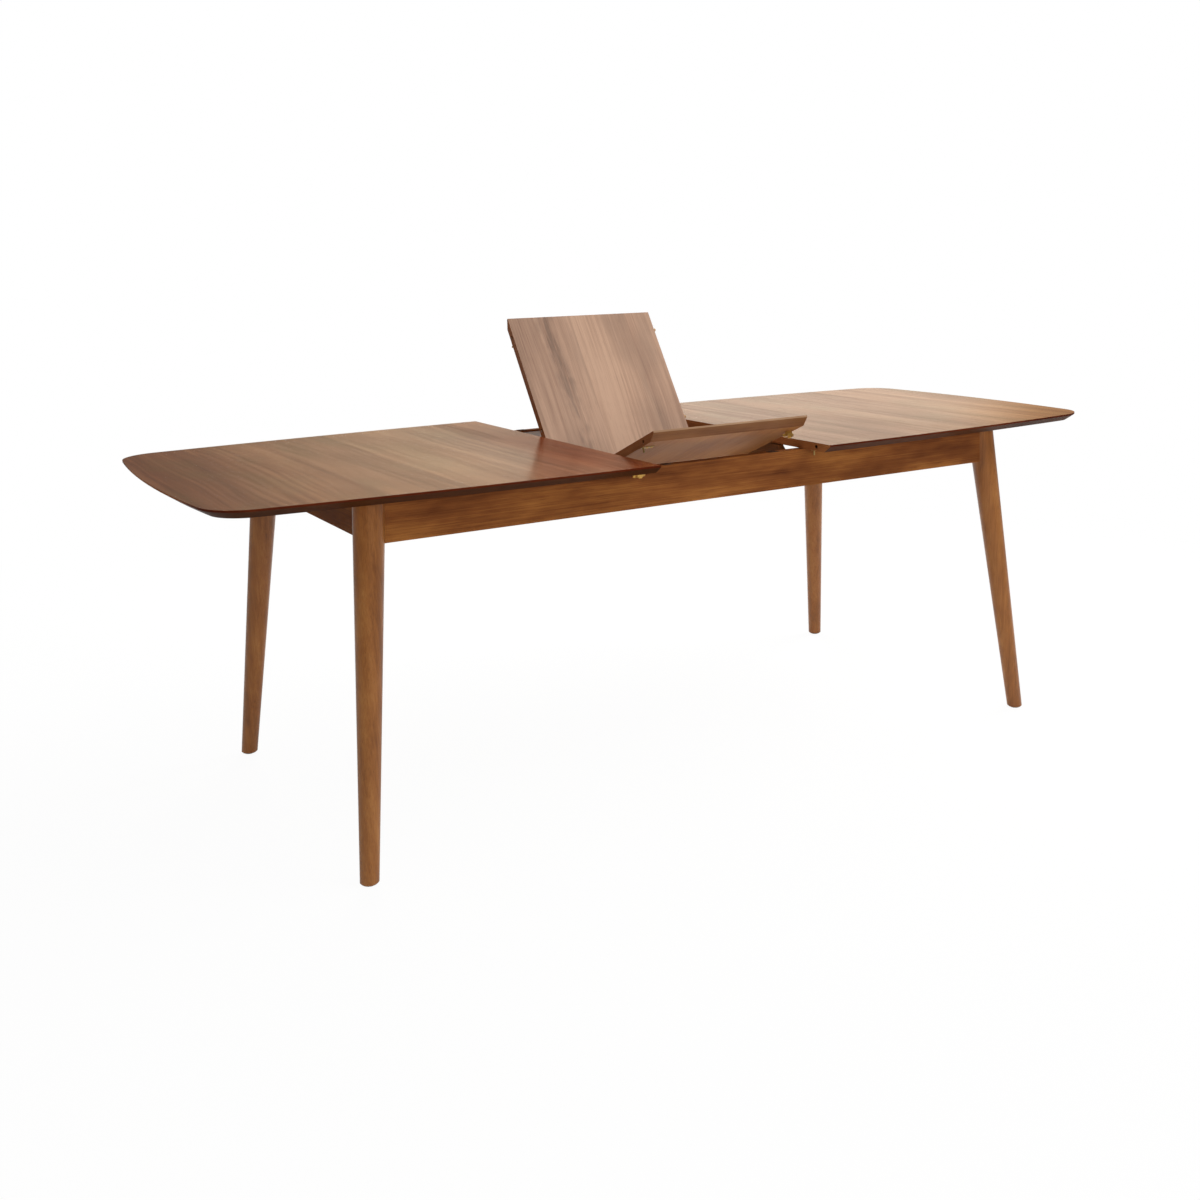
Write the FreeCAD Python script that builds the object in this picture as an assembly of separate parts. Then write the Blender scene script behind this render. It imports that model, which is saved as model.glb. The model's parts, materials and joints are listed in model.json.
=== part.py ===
import FreeCAD, Part
import math
import os

Vector = FreeCAD.Vector

# Extending dining table: fixed frame, two sliding top halves and a butterfly leaf that is part way up.
# X runs along the table, Y to the back, Z up. The origin is on the floor under the middle. Millimetres.

# Top
table_height = 750.0
half_length = 900.0
half_width = 450.0
side_sweep = 48.0
end_bow = 25.0
corner_radius = 90.0
top_thickness = 18.0
lip_height = 4.0
bevel_inset = 20.0

# Leaf and the gap it drops into
leaf_length = 400.0
joint_gap = 0.3
pull_out = 18.7
leaf_back_angle = 56.7
leaf_front_rise = 172.9329
pivot_offset = 115.0
pivot_drop = 33.0

# Frame
end_overhang = 100.0
side_overhang = 95.0
apron_height = 85.0
apron_thickness = 22.0
top_running_gap = 1.0
fitting_gap = 0.1

# Legs
leg_top_radius = 31.0
foot_radius = 18.5
leg_end_inset = 7.0
leg_side_inset = 22.0
leg_splay = 83.0
foot_chamfer = 3.0
glide_radius = 12.0
glide_height = 2.0

# Corner blocks and their bolts
block_reach = 45.0
block_thickness = 22.0
block_height = 62.0
bolt_radius = 4.0
bolt_hole_gap = 0.4
bolt_past_axis = 6.0
bolt_past_nut = 4.0
washer_radius = 9.0
washer_thickness = 1.6
nut_across_corners = 15.0
nut_height = 6.5
nut_sides = 6

# Telescopic slides, three members nested in each other
slide_height = 45.0
slide_depth = 13.0
slide_from_middle = 60.0
slide_end_gap = 11.0
slide_wall = 1.2
slide_gap = 0.3
slide_flange = 8.5
slide_lip = 4.0
slide_below_top = 21.0
middle_wing = 2.6
inner_wing = 2.0

# Runners and battens under each half
runner_width = 28.0
runner_depth = 42.0
runner_setback = 50.0
runner_end_gap = 12.0
batten_width = 30.0
batten_depth = 20.0
batten_end_gap = 50.0

# Rails and boards across the frame
cross_rail_end_gap = 140.0
cross_rail_thickness = 18.0
cross_rail_height = 34.0
rail_lift = 2.0
carrier_side_gap = 13.0
carrier_thickness = 15.0
carrier_runner_gap = 12.0
carrier_tongue = 28.0
carrier_below_top = 2.0
carrier_corner = 12.0
stop_rail_from_middle = 150.0
stop_rail_width = 30.0
pad_size = 20.0
pad_thickness = 2.0
pad_from_middle = 140.0
pad_gap = 0.3

# Pivot of the leaf
pin_radius = 4.0
pin_end = 2.0
pin_head_radius = 7.0
pin_head_height = 3.0
bush_wall = 3.0
bush_running_gap = 0.06
bush_flange = 3.0
bush_flange_height = 1.4
bracket_plate = 3.0
bracket_length = 38.0
bracket_width = 44.0
bracket_edge = 3.0
bracket_ear_radius = 10.0

# Hinges in the fold of the leaf
hinge_spacing = 140.0
barrel_radius = 6.5
barrel_length = 16.0
link_inner_radius = 5.0
link_outer_radius = 10.5
link_width = 5.0
link_gap = 0.4
link_half_angle = 62.0
link_slot_angle = 64.0

# Alignment pins in the meeting edges
dowel_radius = 4.0
dowel_seat = 18.0
dowel_reach = 9.0
dowel_tip = 1.2
dowel_socket_gap = 0.3
dowel_socket_depth = 12.0
dowel_from_middle = 150.0
dowel_from_side = 48.0

# Latch hooks and their keepers
latch_from_side = 62.0
hook_setback = 13.0
hook_thickness = 5.0
hook_half_width = 7.5
hook_tail = 15.0
hook_tip = 5.0
hook_base_radius = 8.0
hook_base_height = 6.0
hook_gap = 0.3
hook_screw_radius = 2.5
hook_screw_head_radius = 5.0
hook_screw_head = 2.0
hook_parked_angle = 160.0
keeper_setback = 5.0
keeper_thickness = 1.5
keeper_width = 12.0
keeper_length = 30.0
keeper_edge = 0.5
stud_radius = 2.0
stud_slot_gap = 0.4

# Places worked out from the sizes above
underside = table_height - top_thickness
inner_edge = leaf_length / 2 + joint_gap + pull_out
frame_half_length = half_length - end_overhang
frame_half_width = half_width - side_overhang
frame_top = underside - top_running_gap
apron_bottom = frame_top - apron_height
apron_inner_y = frame_half_width - apron_thickness
apron_inner_x = frame_half_length - apron_thickness
block_back = block_reach + block_thickness * math.sqrt(2)
runner_end = apron_inner_x - block_back - runner_end_gap
runner_inner_y = apron_inner_y - slide_depth - runner_width
slide_length = runner_end - slide_end_gap - inner_edge - slide_from_middle
leg_x = frame_half_length - leg_end_inset
leg_y = frame_half_width - leg_side_inset
pivot = Vector(0, pivot_offset, table_height - pivot_drop)
fold = Vector(0, 0, table_height)
leaf_front_angle = math.degrees(math.asin(leaf_front_rise / half_width))
leaf_fold_angle = leaf_back_angle + leaf_front_angle
dowel_places = (-(half_width - dowel_from_side), -dowel_from_middle, dowel_from_middle, half_width - dowel_from_side)
latch_y = half_width - latch_from_side
hook_arm = hook_setback + joint_gap + keeper_setback
hook_top = underside - hook_base_height - hook_gap
slide_middle_z = underside - slide_below_top - slide_depth / 2
full_turn = 360.0
SIDES = {"left": -1, "right": 1}
DEPTHS = {"front": -1, "back": 1}
X = Vector(1, 0, 0)
Y = Vector(0, 1, 0)
Z = Vector(0, 0, 1)
HERE = Vector(0, 0, 0)


def save(name, *solids):
    """One STEP file per piece; a group of like pieces is a compound of separate solids."""
    shape = solids[0] if len(solids) == 1 else Part.makeCompound(list(solids))
    shape.exportStep("parts/" + name + ".step")
    count = len(shape.Solids)
    print(name, count, round(shape.Volume), "valid" if shape.isValid() else "NOT VALID")


def block(x_range, y_range, z_range):
    """A rectangular solid between two places on each axis."""
    low = Vector(min(x_range), min(y_range), min(z_range))
    high = Vector(max(x_range), max(y_range), max(z_range))
    size = high - low
    return Part.makeBox(size.x, size.y, size.z, low)


def prism(points, along):
    """A straight extrusion of a closed outline."""
    wire = Part.makePolygon(list(points) + [points[0]])
    return Part.Face(wire).extrude(along)


def rod(start, along, radius, length):
    return Part.makeCylinder(radius, length, start, along)


def mirrored(shape, side, depth=1):
    """The same piece on the other side, or at the other depth, of the table's middle."""
    if side < 0:
        shape = shape.mirror(HERE, X)
    if depth < 0:
        shape = shape.mirror(HERE, Y)
    return shape


def swung(shape, with_front):
    """A piece of the flat leaf, turned to where the leaf stands part way up."""
    placed = shape.copy()
    if with_front:
        placed.rotate(fold, X, -leaf_fold_angle)
    placed.rotate(pivot, X, leaf_back_angle)
    return placed


# Top halves: boat-shaped outline of tangent arcs, with a thin lip and a deep bevel under it
def meeting_circle_centre(side_centre, side_reach, end_centre, end_reach):
    """Centre of the corner arc: it lies at a known distance from the centres of both long arcs."""
    between = end_centre - side_centre
    apart = between.Length
    along = (apart ** 2 + side_reach ** 2 - end_reach ** 2) / (2 * apart)
    across = math.sqrt(side_reach ** 2 - along ** 2)
    unit = between / apart
    normal = Vector(-unit.y, unit.x, 0)
    found = [side_centre + unit * along + normal * across, side_centre + unit * along - normal * across]
    return max(found, key=lambda p: p.x + p.y)


def half_outline(inset, height):
    """Outline of the right half at one height, drawn in by the inset on its three outer sides."""
    side_radius = (half_length ** 2 + side_sweep ** 2) / (2 * side_sweep)
    end_half_width = half_width - side_sweep
    end_radius = (end_half_width ** 2 + end_bow ** 2) / (2 * end_bow)
    side_centre = Vector(inner_edge, half_width - side_radius, 0)
    end_centre = Vector(inner_edge + half_length - end_radius, 0, 0)
    corner = meeting_circle_centre(side_centre, side_radius - corner_radius, end_centre, end_radius - corner_radius)

    def on_circle(centre, radius, direction):
        return centre + direction / direction.Length * (radius - inset) + Z * height

    def with_middle(centre, radius, first, last):
        middle = first / first.Length + last / last.Length
        return [on_circle(centre, radius, d) for d in (first, middle, last)]

    side_end = corner - side_centre
    end_start = corner - end_centre
    side = with_middle(side_centre, side_radius, Y, side_end)
    turn = with_middle(corner, corner_radius, side_end, end_start)
    tip = on_circle(end_centre, end_radius, X)
    arcs = [side, turn]
    edges = [Part.Arc(*three).toShape() for three in arcs]
    edges.append(Part.Arc(turn[2], tip, Vector(turn[2].x, -turn[2].y, height)).toShape())
    for three in reversed(arcs):
        back_again = [Vector(p.x, -p.y, p.z) for p in reversed(three)]
        edges.append(Part.Arc(*back_again).toShape())
    edges.append(Part.makeLine(edges[-1].Vertexes[-1].Point, side[0]))
    return Part.Wire(Part.__sortEdges__(edges))


def half_panel():
    """The right half of the top, without its holes."""
    levels = ((0, table_height), (0, table_height - lip_height), (bevel_inset, underside))
    return Part.makeLoft([half_outline(inset, height) for inset, height in levels], True, True)


def dowel_holes(face_x, into, radius, depth, places):
    """Holes along X into a meeting edge, at mid thickness."""
    mid_height = table_height - top_thickness / 2
    return [rod(Vector(face_x, y, mid_height), X * into, radius, depth) for y in places]


def dowel(face_x, y):
    """A round alignment pin with a tapered tip, seated in the edge that faces +X."""
    start = Vector(face_x - dowel_seat, y, table_height - top_thickness / 2)
    straight = dowel_seat + dowel_reach - dowel_tip
    shank = rod(start, X, dowel_radius, straight)
    tip = Part.makeCone(dowel_radius, dowel_radius - dowel_tip, dowel_tip, start + X * straight, X)
    return shank.fuse(tip).removeSplitter()


def top_halves():
    socket_radius = dowel_radius + dowel_socket_gap
    panel = half_panel()
    right = panel.cut(dowel_holes(inner_edge, 1, socket_radius, dowel_socket_depth, dowel_places))
    left = mirrored(panel, -1).cut(dowel_holes(-inner_edge, -1, dowel_radius, dowel_seat, dowel_places))
    save("top_right", right)
    save("top_left", left)
    save("alignment_pins_left", *[dowel(-inner_edge, y) for y in dowel_places])


# Runners, slides and battens under each half
def runner():
    """Square hardwood runner under the right half."""
    y_range = (runner_inner_y, runner_inner_y + runner_width)
    return block((inner_edge + runner_setback, runner_end), y_range, (underside - runner_depth, underside))


def slide_profile(points, start):
    """A thin-walled section, closed by its own mirror image, drawn along X for the length of the slide."""
    whole = list(points) + [(depth, -rise) for depth, rise in reversed(points)]
    corners = [Vector(start, apron_inner_y - depth, slide_middle_z + rise) for depth, rise in whole]
    return prism(corners, X * slide_length)


def slide_outer(shift):
    """Channel on the apron, with lips that hold the middle member."""
    half = slide_height / 2
    lip_rise = half - slide_lip
    inside = half - slide_wall
    points = [(0, half), (slide_flange, half), (slide_flange, lip_rise), (slide_flange - slide_wall, lip_rise)]
    points += [(slide_flange - slide_wall, inside), (slide_wall, inside)]
    return slide_profile(points, slide_from_middle + shift)


def middle_sizes():
    """Back face, web face, wing rise, neck rise, mouth and lip of the middle member."""
    back = slide_wall + slide_gap
    web = back + slide_wall
    wing = slide_height / 2 - slide_wall - slide_gap
    neck = wing - slide_wall - middle_wing
    mouth = slide_depth - slide_wall - slide_gap
    return back, web, wing, neck, mouth


def slide_middle(shift):
    """Section whose wings run behind the outer lips and whose channel holds the inner member."""
    back, web, wing, neck, mouth = middle_sizes()
    wing_end = slide_flange - slide_wall - slide_gap
    lip_rise = neck - slide_wall - slide_lip / 2
    points = [(back, wing), (wing_end, wing), (wing_end, wing - slide_wall), (web, wing - slide_wall), (web, neck)]
    points += [(mouth, neck), (mouth, lip_rise), (mouth - slide_wall, lip_rise)]
    points += [(mouth - slide_wall, neck - slide_wall), (web, neck - slide_wall)]
    return slide_profile(points, slide_from_middle + shift)


def slide_inner(shift):
    """Section that rides in the middle member and is screwed to the runner."""
    back, web, wing, neck, mouth = middle_sizes()
    start = web + slide_gap
    rise = neck - slide_wall - slide_gap
    wing_end = mouth - slide_wall - slide_gap
    box_rise = rise - slide_wall - inner_wing
    points = [(start, rise), (wing_end, rise), (wing_end, rise - slide_wall), (start + slide_wall, rise - slide_wall)]
    points += [(start + slide_wall, box_rise), (slide_depth, box_rise)]
    solid = slide_profile(points, slide_from_middle + shift)
    hollow_start = start + slide_wall
    hollow_end = slide_depth - slide_wall
    hollow_rise = box_rise - slide_wall
    hollow = slide_profile([(hollow_start, hollow_rise), (hollow_end, hollow_rise)], slide_from_middle + shift)
    return solid.cut(hollow)


def batten():
    """Board across the underside of a half, from runner to runner."""
    end = runner_end - batten_end_gap
    y_range = (-runner_inner_y, runner_inner_y)
    return block((end - batten_width, end), y_range, (underside - batten_depth, underside))


def sliding_parts():
    for side_name, side in SIDES.items():
        for depth_name, depth in DEPTHS.items():
            save("runner_" + side_name + "_" + depth_name, mirrored(runner(), side, depth))
        members = {"slide_outers_": 0, "slide_middles_": inner_edge / 2, "slide_inners_": inner_edge}
        makers = {"slide_outers_": slide_outer, "slide_middles_": slide_middle, "slide_inners_": slide_inner}
        for name, shift in members.items():
            pair = [mirrored(makers[name](shift), side, depth) for depth in DEPTHS.values()]
            save(name + side_name, *pair)
        save("cross_batten_" + side_name, mirrored(batten(), side))


# Legs
def leg_cone(extra):
    """The leg's taper, longer than the leg at both ends, along its splayed axis."""
    head = Vector(leg_x, leg_y, underside)
    foot = Vector(leg_x + leg_splay, leg_y + leg_splay, 0)
    along = head - foot
    unit = along / along.Length
    spare = leg_top_radius
    taper = spare * (leg_top_radius - foot_radius) / along.Length
    low_radius = foot_radius - taper + extra
    high_radius = leg_top_radius + taper + extra
    return Part.makeCone(low_radius, high_radius, along.Length + 2 * spare, foot - unit * spare, unit)


def bolt_line():
    """Start in the leg, direction, length and seat of the nut of the hanger bolt."""
    to_middle = Vector(-1, -1, 0).normalize()
    height = frame_top - apron_height / 2
    fall = (underside - height) / underside
    axis_point = Vector(leg_x + leg_splay * fall, leg_y + leg_splay * fall, height)
    corner_sum = apron_inner_x + apron_inner_y - block_reach
    to_block_face = (axis_point.x + axis_point.y - corner_sum) / math.sqrt(2) + block_thickness
    start = axis_point - to_middle * bolt_past_axis
    length = bolt_past_axis + to_block_face + washer_thickness + nut_height + bolt_past_nut
    return start, to_middle, length, axis_point + to_middle * to_block_face


def hanger_bolt():
    start, along, length, _ = bolt_line()
    return rod(start, along, bolt_radius, length)


def bolt_clearance():
    """Round room for the hanger bolt in what it passes through."""
    start, along, length, _ = bolt_line()
    return rod(start, along, bolt_radius + bolt_hole_gap, length)


def leg():
    """Turned, tapered and splayed leg, cut level at both ends, with a blind hole for its bolt."""
    reach = leg_x + leg_splay + leg_top_radius
    shape = leg_cone(0).common(block((0, reach), (0, reach), (glide_height, frame_top)))
    bottom = [e for e in shape.Edges if e.BoundBox.ZMax < glide_height + joint_gap]
    return shape.makeChamfer(foot_chamfer, bottom).cut(hanger_bolt())


def foot_glide():
    foot = Vector(leg_x + leg_splay, leg_y + leg_splay, 0)
    return rod(foot, Z, glide_radius, glide_height)


# Frame
def end_coping():
    """What an apron's end is cut back from: the round leg and its bolt."""
    return [leg_cone(fitting_gap), bolt_clearance()]


def side_apron():
    """Front or back apron, its ends coped to the round legs."""
    board = block((-leg_x, leg_x), (apron_inner_y, frame_half_width), (apron_bottom, frame_top))
    return board.cut(end_coping() + [mirrored(c, -1) for c in end_coping()])


def end_apron():
    board = block((apron_inner_x, frame_half_length), (-leg_y, leg_y), (apron_bottom, frame_top))
    return board.cut(end_coping() + [mirrored(c, 1, -1) for c in end_coping()])


def corner_block():
    """Diagonal brace between two aprons, with a hole for the hanger bolt."""
    low = frame_top - apron_height / 2 - block_height / 2
    points = [(apron_inner_x - block_reach, apron_inner_y), (apron_inner_x, apron_inner_y - block_reach)]
    points += [(apron_inner_x, apron_inner_y - block_back), (apron_inner_x - block_back, apron_inner_y)]
    return prism([Vector(x, y, low) for x, y in points], Z * block_height).cut(bolt_clearance())


def hanger_nut():
    """Washer and hexagon nut on the inner face of the corner block."""
    start, along, length, seat = bolt_line()
    washer = rod(seat, along, washer_radius, washer_thickness)
    corner_at = Vector(0, 0, nut_across_corners / 2)
    face_start = seat + along * washer_thickness
    turn = FreeCAD.Rotation(along, full_turn / nut_sides)
    corners = []
    for _ in range(nut_sides):
        corners.append(face_start + corner_at)
        corner_at = turn.multVec(corner_at)
    nut = prism(corners, along * nut_height)
    return washer.fuse(nut).cut(rod(start, along, bolt_radius, length))


def frame_parts():
    bolts = []
    nuts = []
    glides = []
    for side_name, side in SIDES.items():
        for depth_name, depth in DEPTHS.items():
            place = depth_name + "_" + side_name
            save("leg_" + place, mirrored(leg(), side, depth))
            save("corner_block_" + place, mirrored(corner_block(), side, depth))
            bolts.append(mirrored(hanger_bolt(), side, depth))
            nuts.append(mirrored(hanger_nut(), side, depth))
            glides.append(mirrored(foot_glide(), side, depth))
        save("apron_" + side_name, mirrored(end_apron(), side))
        save("cross_rail_" + side_name, mirrored(cross_rail(), side))
        save("leaf_carrier_" + side_name, mirrored(leaf_carrier(), side))
    for depth_name, depth in DEPTHS.items():
        save("apron_" + depth_name, mirrored(side_apron(), 1, depth))
    save("hanger_bolts", *bolts)
    save("hanger_nuts", *nuts)
    save("foot_glides", *glides)


# Rails and boards across the frame
def cross_rail():
    low = apron_bottom + rail_lift
    far = apron_inner_x - cross_rail_end_gap
    y_range = (-apron_inner_y, apron_inner_y)
    return block((far - cross_rail_thickness, far), y_range, (low, low + cross_rail_height))


def carrier_start():
    return leaf_length / 2 + carrier_side_gap


def leaf_carrier():
    """Board across the frame beside the leaf: high in the middle, low where the slides pass over its ends."""
    low = apron_bottom + rail_lift
    tongue = low + carrier_tongue
    high = underside - carrier_below_top
    shoulder = carrier_runner_gap - runner_inner_y
    half_points = [(-apron_inner_y, low), (-apron_inner_y, tongue), (shoulder, tongue)]
    half_points += [(shoulder, high - carrier_corner), (shoulder + carrier_corner, high)]
    points = half_points + [(-y, z) for y, z in reversed(half_points)]
    board = prism([Vector(carrier_start(), y, z) for y, z in points], X * carrier_thickness)
    hole = rod(Vector(carrier_start(), pivot.y, pivot.z), X, pin_radius + bush_wall, carrier_thickness)
    return board.cut(hole)


def pivot_bush():
    """Flanged bush in the carrier; the leaf's pin turns in it."""
    face = Vector(carrier_start(), pivot.y, pivot.z)
    outer = pin_radius + bush_wall
    tube = rod(face, X, outer, carrier_thickness)
    flange = rod(face - X * bush_flange_height, X, outer + bush_flange, bush_flange_height)
    bore_length = carrier_thickness + bush_flange_height
    bore = rod(face - X * bush_flange_height, X, pin_radius + bush_running_gap, bore_length)
    return tube.fuse(flange).cut(bore)


def stop_rail_top():
    """Put away, the leaf lies folded and face down, its fold as far under the pivot as it was above it."""
    stored_fold = pivot.z - pivot_drop
    return stored_fold - top_thickness - pad_thickness


def stop_rail():
    low = apron_bottom + rail_lift
    reach = carrier_start()
    y_range = (-stop_rail_from_middle - stop_rail_width / 2, -stop_rail_from_middle + stop_rail_width / 2)
    return block((-reach, reach), y_range, (low, stop_rail_top()))


def pad(x, y, low, thickness):
    half = pad_size / 2
    return block((x - half, x + half), (y - half, y + half), (low, low + thickness))


def felt_pads():
    """Pads that the leaf lies on: two on the stop rail, and two on each long apron."""
    pads = []
    for side in SIDES.values():
        x = side * pad_from_middle
        pads.append(pad(x, -stop_rail_from_middle, stop_rail_top(), pad_thickness))
        for depth in DEPTHS.values():
            y = depth * (frame_half_width - apron_thickness / 2)
            pads.append(pad(x, y, frame_top, top_running_gap - pad_gap))
    return pads


# Leaf, drawn flat and then swung to where it stands
def leaf_panel(depth):
    """One half of the leaf, with the same lip and bevel on its outer edge as the top."""
    points = [(joint_gap / 2, table_height), (half_width, table_height), (half_width, table_height - lip_height)]
    points += [(half_width - bevel_inset, underside), (joint_gap / 2, underside)]
    half_leaf = leaf_length / 2
    panel = prism([Vector(-half_leaf, y, z) for y, z in points], X * leaf_length)
    places = [y for y in dowel_places if y > 0]
    socket_radius = dowel_radius + dowel_socket_gap
    cuts = dowel_holes(-half_leaf, 1, socket_radius, dowel_socket_depth, places)
    cuts += dowel_holes(half_leaf, -1, dowel_radius, dowel_seat, places)
    for x in hinge_places():
        cuts.append(barrel_blank(x))
        cuts.append(link_slot(x))
    return mirrored(panel.cut(cuts), 1, depth)


def hinge_places():
    return (-hinge_spacing, 0, hinge_spacing)


def barrel_blank(x):
    return rod(Vector(x, joint_gap / 2, table_height - top_thickness / 2), Y, barrel_radius, barrel_length)


def ring_sector(x, inner, outer, width, half_angle):
    """A curved link about the fold, centred under it when the leaf is flat."""
    start = fold + X * (x - width / 2)
    ring = Part.makeCylinder(outer, width, start, X).cut(Part.makeCylinder(inner, width, start, X))
    reach = 2 * outer
    away = math.radians(half_angle)
    edge = Vector(0, reach * math.sin(away), -reach * math.cos(away))
    low = Vector(0, 0, -reach)
    points = [start, start + edge, start + edge + low, start + Vector(0, -edge.y, edge.z) + low]
    points.append(start + Vector(0, -edge.y, edge.z))
    return ring.common(prism(points, X * width))


def link_slot(x):
    width = link_width + 2 * link_gap
    return ring_sector(x, link_inner_radius - link_gap, link_outer_radius + link_gap, width, link_slot_angle)


def hinge_barrel(x):
    """Barrel in the edge of the leaf, slotted for the curved link."""
    return barrel_blank(x).cut(link_slot(x))


def hinge_link(x):
    return ring_sector(x, link_inner_radius, link_outer_radius, link_width, link_half_angle)


def pivot_bracket():
    """Plate under the leaf with a rounded ear that holds the pivot pin."""
    outer_face = leaf_length / 2 - bracket_edge
    length_range = (outer_face - bracket_length, outer_face)
    width_range = (pivot.y - bracket_width / 2, pivot.y + bracket_width / 2)
    plate = block(length_range, width_range, (underside - bracket_plate, underside))
    ear_start = Vector(outer_face - bracket_plate, pivot.y, pivot.z)
    ear = rod(ear_start, X, bracket_ear_radius, bracket_plate)
    web_range = (pivot.y - bracket_ear_radius, pivot.y + bracket_ear_radius)
    web = block((outer_face - bracket_plate, outer_face), web_range, (pivot.z, underside))
    hole = rod(ear_start, X, pin_radius, bracket_plate)
    return plate.fuse([ear, web]).removeSplitter().cut(hole)


def pivot_pin():
    """Headed pin from the bracket's ear through the bush."""
    inner_face = leaf_length / 2 - bracket_edge - bracket_plate
    head = rod(Vector(inner_face - pin_head_height, pivot.y, pivot.z), X, pin_head_radius, pin_head_height)
    length = carrier_start() + carrier_thickness + pin_end - inner_face
    shank = rod(Vector(inner_face, pivot.y, pivot.z), X, pin_radius, length)
    return head.fuse(shank)


# Latches under the meeting edges
def hook_plate(centre_x, y, slot_side):
    """Oval hook that points along +X, with a curved slot open on one side for the stud."""
    centre = Vector(centre_x, y, hook_top - hook_thickness)
    tip_reach = hook_arm + hook_tip
    half_hook = (hook_tail + tip_reach) / 2
    oval = Part.Ellipse(centre + X * (half_hook - hook_tail), half_hook, hook_half_width)
    plate = Part.Face(Part.Wire(oval.toShape())).extrude(Z * hook_thickness)
    plate = plate.cut(rod(centre, Z, hook_screw_radius + hook_gap, hook_thickness))
    slot_half = stud_radius + stud_slot_gap
    ring = rod(centre, Z, hook_arm + slot_half, hook_thickness)
    ring = ring.cut(rod(centre, Z, hook_arm - slot_half, hook_thickness))
    y_range = (y, y + slot_side * tip_reach)
    open_part = block((centre.x, centre.x + tip_reach), y_range, (centre.z, hook_top))
    slot = ring.common(open_part).fuse(rod(centre + X * hook_arm, Z, slot_half, hook_thickness))
    return plate.cut(slot)


def parked_hook(centre_x, depth):
    """A front or back hook, turned outward, away from the edge that it latches."""
    y = depth * latch_y
    hook = hook_plate(centre_x, y, -depth)
    hook.rotate(Vector(centre_x, y, 0), Z, depth * hook_parked_angle)
    return hook


def hook_screw(x, y):
    """Round base under the top, the shank that the hook turns on, and its head."""
    shank_length = hook_base_height + hook_thickness + 2 * hook_gap + hook_screw_head
    shank = rod(Vector(x, y, underside - shank_length), Z, hook_screw_radius, shank_length)
    base = rod(Vector(x, y, underside - hook_base_height), Z, hook_base_radius, hook_base_height)
    head = rod(Vector(x, y, underside - shank_length), Z, hook_screw_head_radius, hook_screw_head)
    return shank.fuse([base, head]).removeSplitter()


def keeper(edge_x, y):
    """Plate with a stud, just inside an edge that faces -X."""
    x_range = (edge_x + keeper_edge, edge_x + keeper_edge + keeper_length)
    y_range = (y - keeper_width / 2, y + keeper_width / 2)
    plate = block(x_range, y_range, (underside - keeper_thickness, underside))
    stud_length = hook_base_height + hook_thickness + 2 * hook_gap
    stud = rod(Vector(edge_x + keeper_setback, y, underside - stud_length), Z, stud_radius, stud_length)
    return plate.fuse(stud).removeSplitter()


def latch_parts():
    left_pivot = -inner_edge - hook_setback
    leaf_pivot = leaf_length / 2 - hook_setback
    left_screws = []
    right_keepers = []
    for depth_name, depth in DEPTHS.items():
        y = depth * latch_y
        save("hook_left_" + depth_name, parked_hook(left_pivot, depth))
        left_screws.append(hook_screw(left_pivot, y))
        right_keepers.append(keeper(inner_edge, y))
        with_front = depth < 0
        save("hook_leaf_" + depth_name, swung(parked_hook(leaf_pivot, depth), with_front))
        save("hook_screw_leaf_" + depth_name, swung(hook_screw(leaf_pivot, y), with_front))
        save("keeper_leaf_" + depth_name, swung(keeper(-leaf_length / 2, y), with_front))
    save("hook_screws_left", *left_screws)
    save("keepers_right", *right_keepers)


def leaf_parts():
    for depth_name, depth in DEPTHS.items():
        with_front = depth < 0
        save("leaf_" + depth_name, swung(leaf_panel(depth), with_front))
        barrels = [swung(mirrored(hinge_barrel(x), 1, depth), with_front) for x in hinge_places()]
        save("hinge_barrels_" + depth_name, *barrels)
        places = [y for y in dowel_places if y * depth > 0]
        pins = [swung(dowel(leaf_length / 2, y), with_front) for y in places]
        save("alignment_pins_leaf_" + depth_name, *pins)
    for side_name, side in SIDES.items():
        save("pivot_bracket_" + side_name, swung(mirrored(pivot_bracket(), side), False))
    save("pivot_pins", *[swung(mirrored(pivot_pin(), side), False) for side in SIDES.values()])
    links = []
    for x in hinge_places():
        link = hinge_link(x)
        link.rotate(fold, X, -leaf_fold_angle / 2)
        links.append(swung(link, False))
    save("hinge_links", *links)


os.makedirs("parts", exist_ok=True)
top_halves()
sliding_parts()
frame_parts()
save("pivot_bushes", *[mirrored(pivot_bush(), side) for side in SIDES.values()])
save("leaf_stop_rail", stop_rail())
save("felt_pads", *felt_pads())
leaf_parts()
latch_parts()
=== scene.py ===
import json
import math

import bpy
import bmesh
from mathutils import Matrix, Vector


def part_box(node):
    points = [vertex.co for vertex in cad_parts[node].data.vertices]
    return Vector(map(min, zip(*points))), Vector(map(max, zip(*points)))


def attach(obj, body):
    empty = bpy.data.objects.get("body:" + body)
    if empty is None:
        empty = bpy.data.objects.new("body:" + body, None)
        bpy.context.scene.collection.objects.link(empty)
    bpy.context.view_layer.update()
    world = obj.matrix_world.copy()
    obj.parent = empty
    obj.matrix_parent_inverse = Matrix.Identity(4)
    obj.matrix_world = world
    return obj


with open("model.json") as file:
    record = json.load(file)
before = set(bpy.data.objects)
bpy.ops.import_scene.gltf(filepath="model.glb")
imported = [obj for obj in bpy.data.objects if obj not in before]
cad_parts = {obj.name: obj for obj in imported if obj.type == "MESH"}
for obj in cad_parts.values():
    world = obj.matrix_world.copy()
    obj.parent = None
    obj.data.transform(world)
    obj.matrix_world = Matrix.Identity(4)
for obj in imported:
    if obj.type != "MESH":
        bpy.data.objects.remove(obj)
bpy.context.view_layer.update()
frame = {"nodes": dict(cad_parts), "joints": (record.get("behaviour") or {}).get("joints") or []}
nodes = frame["nodes"]
joint_at = {j["name"]: Vector(j.get("pos_m", (0, 0, 0))) for j in frame["joints"]}

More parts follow.
